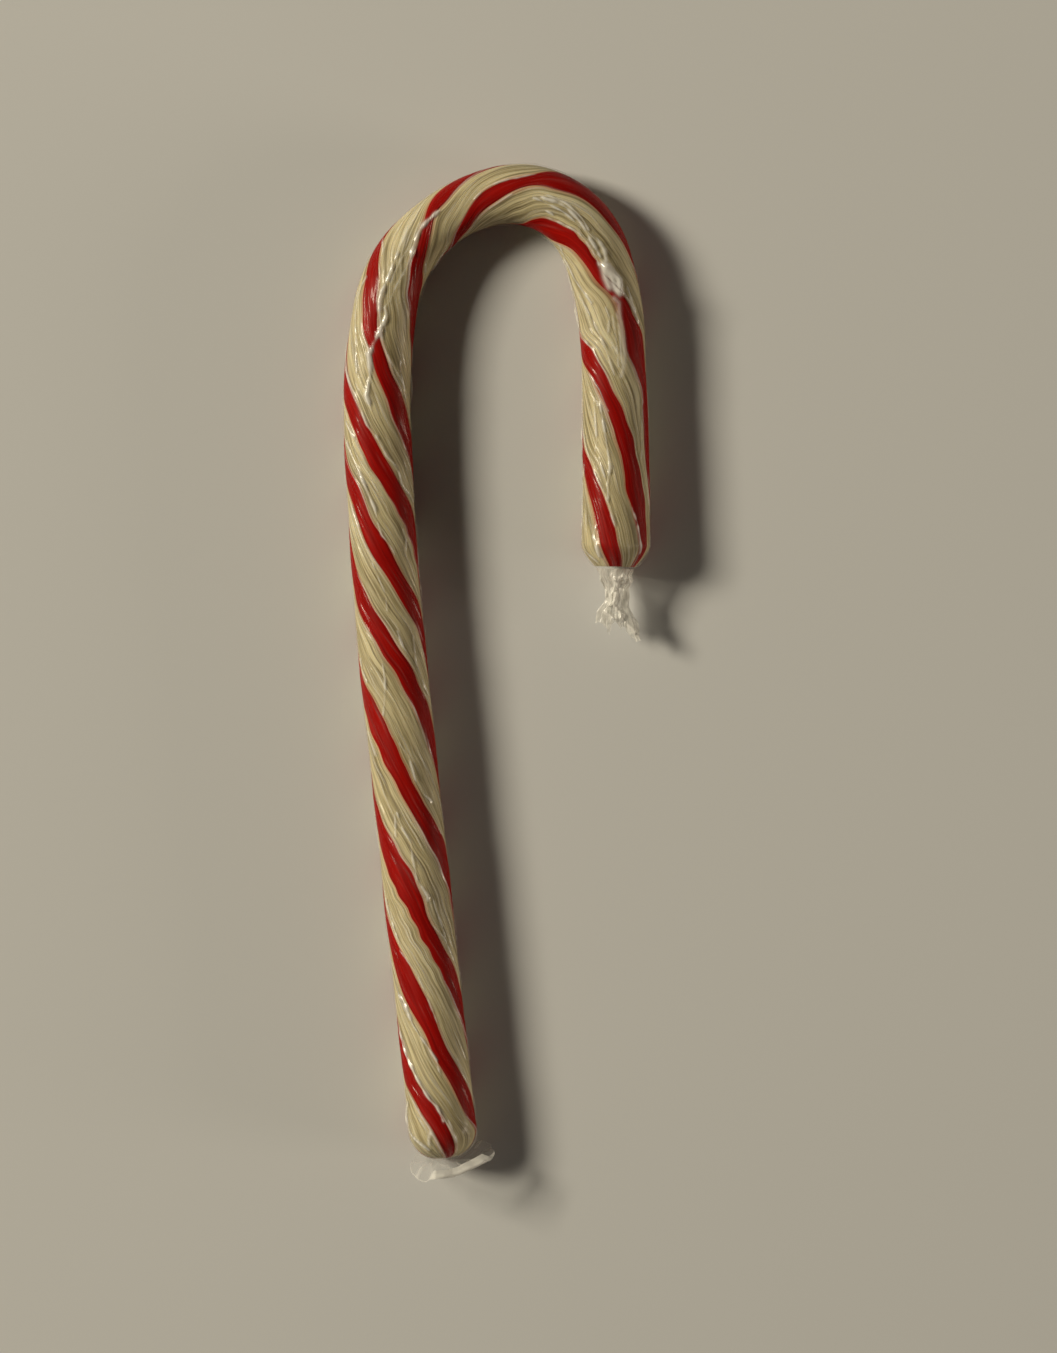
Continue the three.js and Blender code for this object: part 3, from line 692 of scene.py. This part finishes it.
def edge_lines(straight, distance):
    """The lines of film that stripes' edges lift, drawn white as painted highlights, from 0 to 1: they
    come and go along the twist.
    """
    past_edge, half_width = EDGE_LINE[:2]
    total = 0
    for side, strength in ((-1, 0.7), (1, 1.0)):
        rng = np.random.default_rng(30 + side)
        presence = ripples(rng, (0, 3), (14, 50), straight, distance, 10)
        away = wrapped(straight - side * (STRIPE_HALF + past_edge), QUARTER)
        line = np.exp(-((away / half_width) ** 2))
        total = total + strength * line * np.clip(0.15 + 0.7 * presence, 0, 1)
    return total


def large_folds(twisted, distance):
    """The film's larger folds: their height and their whiteness, partly milky film and partly painted
    highlight. All but the broadest are thicker and thinner along their lines."""
    height = np.zeros(twisted.shape)
    milk_and_highlight = np.zeros(twisted.shape)
    across = np.radians(wrapped(twisted)) * ROD_RADIUS
    rng = np.random.default_rng(14)
    for half_width, size, milk_and_highlight_weight, line in FOLDS:
        places = [place for place, _ in line]
        reach = 3 * half_width
        near = (distance > min(places) - reach) & (distance < max(places) + reach)
        near = near[:, 0]
        line = [(place, math.radians(angle) * ROD_RADIUS) for place, angle in line]
        waver = waves(rng, FOLD_WAVES, distance[near], 6) * (half_width < BROAD_FOLD)
        thickness = np.clip(0.95 + 0.28 * waver, 0.55, 1.3)
        ridge = near_line(line, distance[near], across[near], half_width * thickness)
        height[near] += size * thickness * ridge
        strength = np.clip(0.95 + 0.35 * waver, 0.35, 1.15)
        milk_and_highlight[near] += milk_and_highlight_weight * strength * ridge
    return height, milk_and_highlight


def film_on_rod(straight, twisted, distance):
    """The film over the candy: its radius and its whiteness, partly milky film and partly painted
    highlight.
    """
    cover = radius_at(np.clip(distance, 0, ROD_LENGTH)) + candy_relief(straight, distance)
    nearest = np.minimum(distance, ROD_LENGTH - distance)
    gathered = np.clip(1 - nearest / GATHERED, 0, 1.1) ** 2
    pleats = 1 + np.sin(np.radians(PLEATS * straight) + 0.6 * np.sin(np.radians(3 * straight)))
    slack = ripples(np.random.default_rng(3), (0, 5), (9, 30), straight, distance)
    crease_height, crease_milk_and_highlight = small_creases(straight, distance)
    fold_height, fold_milk_and_highlight = large_folds(twisted, distance)
    edge_height, edge_milk_and_highlight = EDGE_LINE[2:]
    edges = edge_lines(straight, distance)
    radius = cover + STRIPE_PROUD + FILM_GAP + SLACK * np.maximum(0, slack)
    radius = radius + PLEAT_DEPTH * gathered * pleats
    radius = radius + crease_height + fold_height + edge_height * edges
    milk_and_highlight = veil(straight) * crease_milk_and_highlight + fold_milk_and_highlight + edge_milk_and_highlight * edges
    milk_and_highlight = milk_and_highlight + PLEAT_HAZE * gathered * pleats
    return radius, milk_and_highlight


def neck_rings(neck, distance, radius, milk_and_highlight):
    """Rings from a neck back to the film's end ring: distances, radii and whiteness, partly milky film
    and partly painted highlight.
    """
    place, narrowest = neck
    share = np.linspace(0, 1, NECK_RINGS, endpoint=False)[:, None]
    radii = blend(narrowest, radius, share**2)
    return place + share * (distance - place), radii, np.broadcast_to(milk_and_highlight, radii.shape)


def make_film_sleeve():
    """The film over the candy, from the neck below the foot to the neck past the hook's end, in two
    halves that meet half way up."""
    straight = film_angles(FILM_FACETS)
    distance = rod_stations(FILM_STEP, FILM_INSET, ROUNDING_STEPS)
    radius, milk_and_highlight = film_on_rod(straight, twisted_angle(straight, distance), distance)
    foot_neck = neck_rings(FOOT_NECK, distance[:1], radius[:1], milk_and_highlight[:1])
    hook_neck = neck_rings(HOOK_NECK, distance[-1:], radius[-1:], milk_and_highlight[-1:])
    hook_neck = [rings[::-1] for rings in hook_neck]
    distance, radius, milk_and_highlight = joined(foot_neck, (distance, radius, milk_and_highlight), hook_neck)
    points = round_rod(straight, distance, radius)
    log = log_coordinates(straight, distance)
    half = len(distance) // 2
    hairs = veil(straight)
    return (
        make_film("film_sleeve_shaft", points[: half + 1], milk_and_highlight[: half + 1], log[: half + 1], hairs),
        make_film("film_sleeve_hook", points[half:], milk_and_highlight[half:], log[half:], hairs),
    )


# ---- The flared foot ----


def rim_radius(angle):
    """The flare's radius: round, with one straight edge."""
    across = np.cos(np.radians(angle - FLARE_CHORD_ANGLE))
    chord = FLARE_CHORD / np.maximum(across, 0.2)
    return np.minimum(FLARE_RADIUS, chord)


def rim_place(angle, radius):
    """The rim's distance along the rod, tipped away from the foot above the axis."""
    start, stop = FLARE_BACK
    behind = np.clip((np.abs(wrapped(angle)) - start) / (stop - start), 0, 1)
    up = radius * np.cos(np.radians(angle))
    drop = np.where(up > 0, FLARE_TIP, FLARE_RISE) * up * (1 - FLARE_BACK_FADE * behind)
    slanted = FLARE_PLACE - drop - FLARE_SLANT * radius * np.sin(np.radians(angle))
    return np.maximum(-FLARE_DEEPEST, slanted)


def dome_place(radius):
    """How far from the foot's tip the candy reaches a radius."""
    share = (radius / ROD_RADIUS - FOOT_TIP_SHARE) / (1 - FOOT_TIP_SHARE)
    place = FOOT_ROUNDING * (1 - np.sqrt(1 - np.clip(share, 0, 1) ** 2))
    return np.where(radius > ROD_RADIUS + DOME_MARGIN, np.inf, place)


def lip_width(angle):
    """How far the rim is folded back towards the candy."""
    start, stop = LIP_SPAN
    inside = np.minimum(wrapped(angle) - start, stop - wrapped(angle))
    return blend(HEM_WIDTH, LIP_WIDTH, inside / LIP_FADE)


def lip_share(angle):
    """1 where the lip is wide, and 0 where it is only a hem."""
    return (lip_width(angle) - HEM_WIDTH) / (LIP_WIDTH - HEM_WIDTH)


def lip_rings(angle, radius, place):
    """The lip's rings, from the rim back towards the candy: radii, distances along the rod and
    whiteness, which is most in a bar along it that is a painted highlight."""
    back = np.linspace(0, 1, LIP_RINGS + 1)[1:, None]
    width = lip_width(angle)
    on_straight_edge = np.clip(FLARE_RADIUS - rim_radius(angle), 0, 1)
    roll = LIP_ROLL * np.sin(math.pi * back**0.7) * on_straight_edge
    # A band drawn whiter along the lip: a painted highlight.
    painted_highlight_bar = np.exp(-(((back - 0.35) / 0.22) ** 2))
    milk_and_highlight = lip_share(angle) * (0.7 + 0.3 * painted_highlight_bar) + (1 - lip_share(angle)) * 0.4
    return radius - width * LIP_LEAN * back + roll, place + width * back, milk_and_highlight


def make_film_foot():
    """The film's end below the foot: it flares from the neck to a tipped, crumpled rim, whose
    straight edge is folded back into a lip."""
    angle = film_angles(FLARE_FACETS)
    round_it = np.radians(angle)
    share = np.linspace(0, 1, FLARE_RINGS)[:, None]
    rng = np.random.default_rng(8)
    crumple = ripples(rng, (3, 16), (2, 7), angle, share * 6)
    pleats = np.sin(FLARE_PLEATS * round_it + 0.8 * np.sin(2 * round_it) + 1.5 * share)
    crest = np.maximum(0, pleats) ** 3
    radius = blend(FOOT_NECK[1], rim_radius(angle) + FLARE_CRUMPLE * crumple[-1:], share)
    rise = share**1.4
    place = FOOT_NECK[0] + rise * (rim_place(angle, radius) - FOOT_NECK[0])
    relief = FLARE_PLEAT_DEPTH * pleats + FLARE_CRUMPLE * crumple
    place = place + share * relief * (1 - 0.7 * lip_share(angle))
    place = np.minimum(place, dome_place(radius) - DOME_GAP)
    milk_and_highlight = 0.10 + 0.30 * share * crest + 0.12 * np.maximum(0, crumple)
    lip = lip_rings(angle, radius[-1:], place[-1:])
    radius, place, milk_and_highlight = joined((radius, place, milk_and_highlight), lip)
    shift = FLARE_SHIFT * np.concatenate((share, np.ones((LIP_RINGS, 1))))
    points = place_by_rod(place, shift + radius * np.sin(round_it), radius * np.cos(round_it))
    return make_film("film_foot", points, milk_and_highlight, log_coordinates(angle, place))


# ---- The tail ----


def tail_section(past):
    """Across the tail, at distances past the hook's end: its middle, half its width and half its
    height."""
    places, left, right = np.array(TAIL_EDGES).T
    left = np.interp(past, places, left)
    right = np.interp(past, places, right)
    return (left + right) / 2, (right - left) / 2, value_at(TAIL_DEPTHS, past)


def make_film_tail():
    """The film's end past the hook: a twisted neck that opens into a ragged fan."""
    angle = film_angles(TAIL_FACETS)
    share = np.linspace(0, 1, TAIL_RINGS)[:, None]
    round_it = np.radians(angle)
    rng = np.random.default_rng(21)
    start = HOOK_NECK[0] - ROD_LENGTH
    across = np.sin(round_it)
    ragged = TAIL_RAGGED * ripples(rng, (3, 17), (50, 90), angle, 0 * share)
    end = value_at(TAIL_ENDS, TAIL_MIDDLE + TAIL_HALF * across) + ragged
    past = start + share * (end - start)
    middle, half_across, half_up = tail_section(past)
    twist = np.radians(TAIL_TWIST) * share
    deep = np.clip(past / 3, 0.1, 1)
    pleats = np.sin(5 * round_it + twist) + 0.6 * np.sin(11 * round_it + 1.7 * twist + 1)
    crumple = ripples(rng, (2, 14), (2, 7), angle, past)
    wrinkles = ripples(rng, (6, 34), (1, 5), angle, past, 40)
    relief = TAIL_CRUMPLE * crumple + TAIL_WRINKLE * wrinkles
    radius = 1 - TAIL_PLEAT_DEPTH * deep * (1.3 - pleats) + deep * relief
    out = middle + half_across * radius * across
    up = half_up * radius * np.cos(round_it)
    milk_and_highlight = 0.36 + 0.16 * np.maximum(0, pleats) * deep + 0.14 * np.maximum(0, crumple)
    milk_and_highlight = milk_and_highlight + 0.22 * np.maximum(0, wrinkles)
    front = np.clip(2 * np.cos(round_it), 0, 1)
    for half_width, size, milk_and_highlight_weight, line in TAIL_FOLDS:
        ridge = near_line(line, past, out, half_width) * front
        up = up + size * ridge
        milk_and_highlight = milk_and_highlight + milk_and_highlight_weight * ridge
    points = place_by_rod(ROD_LENGTH + past, out, up)
    return make_film("film_tail", points, milk_and_highlight, log_coordinates(angle, past))


# ---- Materials ----


class Nodes:
    """A material's node tree, built up a node at a time."""

    def __init__(self, name):
        self.material = bpy.data.materials.new(name)
        self.material.use_nodes = True
        self.tree = self.material.node_tree
        self.tree.nodes.clear()

    def feed(self, socket, value):
        """Links another node's output to a socket, or sets the socket's own value."""
        if isinstance(value, bpy.types.NodeSocket):
            self.tree.links.new(value, socket)
        else:
            socket.default_value = value

    def add(self, kind, settings=None, inputs=()):
        """Adds a node. Settings are its own properties; inputs go by name or number."""
        node = self.tree.nodes.new(kind)
        for key, value in (settings or {}).items():
            setattr(node, key, value)
        for key, value in dict(inputs).items():
            self.feed(node.inputs[key], value)
        return node

    def attribute(self, name, output="Fac"):
        """What point_value or point_vector stored."""
        return self.add("ShaderNodeAttribute", {"attribute_name": name}).outputs[output]

    def math(self, operation, *values):
        """A sum, product or the like of values and outputs."""
        node = self.add("ShaderNodeMath", {"operation": operation}, enumerate(values))
        return node.outputs[0]

    def map_range(self, value, source, target):
        """A value carried from one range to another."""
        ends = {"From Min": source[0], "From Max": source[1], "To Min": target[0], "To Max": target[1]}
        return self.add("ShaderNodeMapRange", inputs={"Value": value, **ends}).outputs[0]

    def ramp(self, factor, stops):
        """A colour ramp from stops of (place, colour)."""
        node = self.add("ShaderNodeValToRGB", inputs={"Fac": factor})
        elements = node.color_ramp.elements
        while len(elements) < len(stops):
            elements.new(0.5)
        for element, (place, colour) in zip(elements, stops):
            element.position = place
            element.color = (*colour, 1)
        return node.outputs["Color"]

    def mix(self, factor, first, second, blend_type="MIX"):
        """A colour between two, or their blend."""
        settings = {"data_type": "RGBA", "blend_type": blend_type}
        return self.add("ShaderNodeMix", settings, {0: factor, 6: first, 7: second}).outputs[2]

    def mix_shaders(self, factor, first, second):
        """A shader between two."""
        inputs = {0: factor, 1: first.outputs[0], 2: second.outputs[0]}
        return self.add("ShaderNodeMixShader", inputs=inputs)

    def bump(self, height, strength):
        """A surface direction that a fine relief tilts."""
        relief = {"Height": height, "Strength": strength, "Distance": BUMP_DISTANCE}
        return self.add("ShaderNodeBump", inputs=relief).outputs[0]

    def streaks(self, scale, stretch, detail=3.0):
        """Noise drawn out along the twist."""
        log = self.attribute("log", "Vector")
        drawn = self.add("ShaderNodeMapping", inputs={"Vector": log, "Scale": (1, 1, 1 / stretch)})
        noise = {"Vector": drawn.outputs[0], "Scale": scale, "Detail": detail, "Roughness": 0.6}
        return self.add("ShaderNodeTexNoise", inputs=noise).outputs["Fac"]

    def finish(self, shader):
        """Ends the tree in a shader, and gives the material."""
        output = self.add("ShaderNodeOutputMaterial")
        self.tree.links.new(shader.outputs[0], output.inputs["Surface"])
        return self.material


BUMP_DISTANCE = 0.0001  # in metres
MILKY = (0.95, 0.94, 0.90, 1)
WHITES = (  # the ivory's colours from its darkest noise to its brightest
    (0.30, (0.50, 0.44, 0.28)),
    (0.45, (0.66, 0.58, 0.36)),
    (0.60, (0.74, 0.66, 0.43)),
    (0.75, (0.80, 0.75, 0.54)),
)


def sugar(nodes, colour, normal, shine, depth):
    """A shader for sugar that light enters: how much of it, how far it goes in red, green and blue,
    and the scale of that in metres."""
    weight, radius, scale = depth
    inputs = {"Base Color": colour, "Roughness": 0.45, "Specular IOR Level": shine, "Normal": normal}
    inputs.update({"Subsurface Weight": weight, "Subsurface Radius": radius, "Subsurface Scale": scale})
    return nodes.add("ShaderNodeBsdfPrincipled", inputs=inputs)


def white_material():
    """Pulled white sugar: ivory with fine streaks along the twist, and red bleeding in at the edges."""
    nodes = Nodes("white_candy")
    broad = nodes.streaks(0.35, 9)
    fine = nodes.streaks(2.4, 26)
    hair = nodes.streaks(6.0, 60, 2.0)
    ivory = nodes.ramp(broad, WHITES)
    lines = nodes.ramp(fine, ((0.36, (0.42, 0.38, 0.30)), (0.54, (1, 1, 1))))
    hairs = nodes.ramp(hair, ((0.38, (0.42, 0.39, 0.34)), (0.50, (1, 1, 1))))
    streaked = nodes.mix(0.85, ivory, lines, "MULTIPLY")
    streaked = nodes.mix(0.7, streaked, hairs, "MULTIPLY")
    edge = nodes.attribute("edge")
    ragged = nodes.math("ADD", edge, nodes.math("MULTIPLY", fine, -0.35))
    bleed = nodes.map_range(ragged, (-0.2, 0.30), (0.75, 0.0))
    colour = nodes.mix(bleed, streaked, (0.62, 0.20, 0.10, 1))
    depth = (0.35, (1.0, 0.8, 0.5), 0.0012)
    return nodes.finish(sugar(nodes, colour, nodes.bump(fine, 0.3), 0.2, depth))


def red_material():
    """Boiled red sugar, a little uneven along the twist."""
    nodes = Nodes("red_candy")
    streak = nodes.streaks(1.6, 16)
    hair = nodes.streaks(5.0, 50, 2.0)
    red = nodes.ramp(streak, ((0.3, (0.25, 0.004, 0.003)), (0.7, (0.42, 0.007, 0.004))))
    hairs = nodes.ramp(hair, ((0.34, (0.55, 0.4, 0.4)), (0.5, (1, 1, 1))))
    red = nodes.mix(0.5, red, hairs, "MULTIPLY")
    depth = (0.1, (1.0, 0.12, 0.08), 0.0008)
    return nodes.finish(sugar(nodes, red, nodes.bump(streak, 0.25), 0.05, depth))


def film_material():
    """Clear film: it mirrors a little at a slant, and it turns milky where the mesh's whiteness says,
    partly for creased film and partly as painted highlights, and along fine painted glint hairs.
    """
    nodes = Nodes("clear_film")
    place = nodes.add("ShaderNodeTexCoord").outputs["Object"]
    noise = nodes.add("ShaderNodeTexNoise", inputs={"Vector": place, "Scale": 900.0, "Detail": 3.0})
    bump = nodes.bump(noise.outputs["Fac"], 0.3)
    clear = nodes.add("ShaderNodeBsdfTransparent", inputs={"Color": (0.985, 0.985, 0.98, 1)})
    sheen = {"Color": (1, 1, 1, 1), "Roughness": 0.16, "Normal": bump}
    gloss = nodes.add("ShaderNodeBsdfAnisotropic", inputs=sheen)
    slant = nodes.add("ShaderNodeLayerWeight", inputs={"Blend": 0.5}).outputs["Facing"]
    mirror = nodes.map_range(nodes.math("POWER", slant, 5.0), (0, 1), (0.008, 0.12))
    pane = nodes.mix_shaders(mirror, clear, gloss)
    pale = {"Base Color": MILKY, "Roughness": 0.2, "Normal": bump}
    facing = nodes.add("ShaderNodeBsdfPrincipled", inputs={**pale, "Specular IOR Level": 0.9})
    through = nodes.add("ShaderNodeBsdfTranslucent", inputs={"Color": MILKY})
    milky = nodes.mix_shaders(0.25, facing, through)
    # Fine hairlines drawn white along the twist where the noise runs high: painted glints.
    hairs = nodes.map_range(nodes.streaks(4.5, 50, 2.0), (0.56, 0.66), (0.0, 0.45))
    hairs = nodes.math("MULTIPLY", hairs, nodes.attribute("hairs"))
    patches = nodes.map_range(nodes.streaks(0.5, 3, 1.0), (0.45, 0.62), (0.0, 1.0))
    milk_and_highlight = nodes.attribute("milk_and_highlight")
    milk_and_highlight = nodes.math("MAXIMUM", milk_and_highlight, nodes.math("MULTIPLY", hairs, patches))
    return nodes.finish(nodes.mix_shaders(milk_and_highlight, pane, milky))


# ---- Light, floor and camera ----


def make_floor():
    """A plain pale floor."""
    bpy.ops.mesh.primitive_plane_add(size=8, location=(0, 0, 0))
    floor = bpy.context.object
    floor.name = "floor"
    nodes = Nodes("floor")
    grey = {"Base Color": FLOOR_GREY, "Roughness": 0.9}
    floor.data.materials.append(nodes.finish(nodes.add("ShaderNodeBsdfPrincipled", inputs=grey)))


def make_light(name, place, size, watts, colour):
    """A square softbox at a place in metres, turned to the cane."""
    data = bpy.data.lights.new(name, "AREA")
    data.size = size
    data.energy = watts
    data.color = colour
    lamp = bpy.data.objects.new(name, data)
    lamp.location = place
    lamp.rotation_euler = (-Vector(place)).to_track_quat("-Z", "Y").to_euler()
    bpy.context.scene.collection.objects.link(lamp)


def make_world():
    """A dim, even surround."""
    world = bpy.data.worlds.new("studio")
    world.use_nodes = True
    background = world.node_tree.nodes["Background"]
    background.inputs["Color"].default_value = SURROUND
    background.inputs["Strength"].default_value = SURROUND_STRENGTH
    bpy.context.scene.world = world


def make_camera():
    """Looks straight down, so that the cane falls where it does in the picture."""
    right = (PHOTO_SIZE[0] / 2 - FOOT_PIXEL[0]) * MM_PER_PIXEL
    below = (PHOTO_SIZE[1] / 2 - FOOT_PIXEL[1]) * MM_PER_PIXEL
    data = bpy.data.cameras.new("camera")
    data.sensor_fit = "VERTICAL"
    data.sensor_height = SENSOR_HEIGHT
    data.lens = SENSOR_HEIGHT * CAMERA_HEIGHT / (PHOTO_SIZE[1] * MM_PER_PIXEL)
    data.clip_start = 0.01
    data.clip_end = 50
    camera = bpy.data.objects.new("camera", data)
    camera.location = (
        (FOOT_AT[0] + right) * MM,
        (FOOT_AT[1] - below) * MM,
        (AXIS_HEIGHT + CAMERA_HEIGHT) * MM,
    )
    bpy.context.scene.collection.objects.link(camera)
    bpy.context.scene.camera = camera


# ---- The scene ----


def dress(piece, material, node=None):
    """Finishes a piece: its material, its body, and the node that it stands for."""
    piece.data.materials.append(material)
    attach(piece, "root")
    if node:
        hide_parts(node)


make_floor()
make_world()
for light in LIGHTS:
    make_light(*light)
make_camera()
bpy.context.scene.view_settings.view_transform = "Standard"

dress(make_candy_body(), white_material(), "candy_body")
red = red_material()
for stripe in range(STRIPES):
    dress(make_stripe(stripe), red, f"red_stripe_{stripe + 1}")
film = film_material()
for half in make_film_sleeve():
    dress(half, film)
dress(make_film_foot(), film, "wrapper_foot")
dress(make_film_tail(), film, "wrapper_tail")
